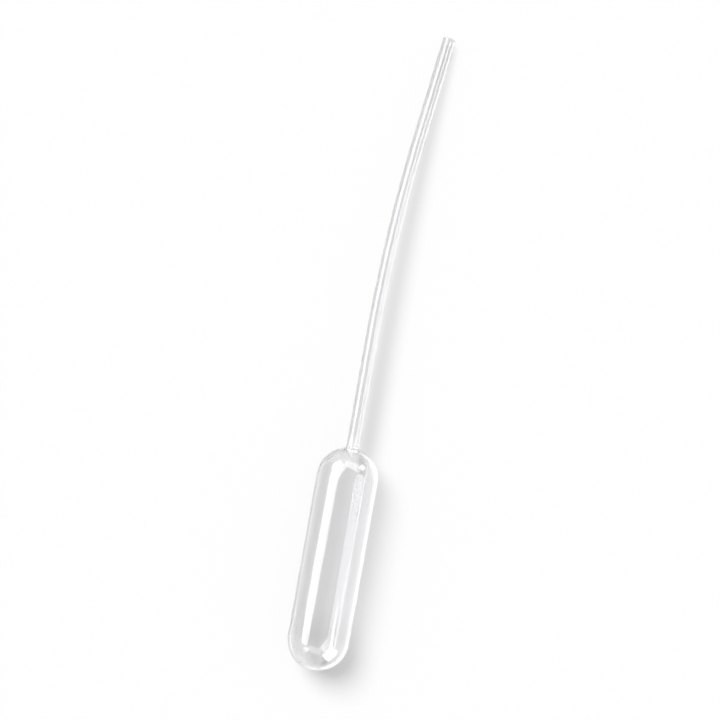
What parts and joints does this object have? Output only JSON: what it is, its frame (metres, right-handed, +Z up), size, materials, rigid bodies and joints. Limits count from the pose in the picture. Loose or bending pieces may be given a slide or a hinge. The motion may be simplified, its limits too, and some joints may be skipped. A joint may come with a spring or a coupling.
{
  "type": "dropper pipette",
  "caption": "Clear plastic dropper pipette moulded in one piece: a long squeeze bulb with round ends, and a thin, gently bent stem open at its tip. It lies on its side.",
  "frame": {"origin": "on the surface that the pipette lies on, under the middle of its box", "axes": "+Y along the bulb's axis from the bulb to the stem, +Z up, +X to the side that the stem bends to"},
  "size_m": [0.0148, 0.1562, 0.0148],
  "materials": {
    "clear_plastic": "clear, smooth, glossy"
  },
  "bodies": {
    "root": {"pipette": "clear_plastic"}
  },
  "joints": []
}
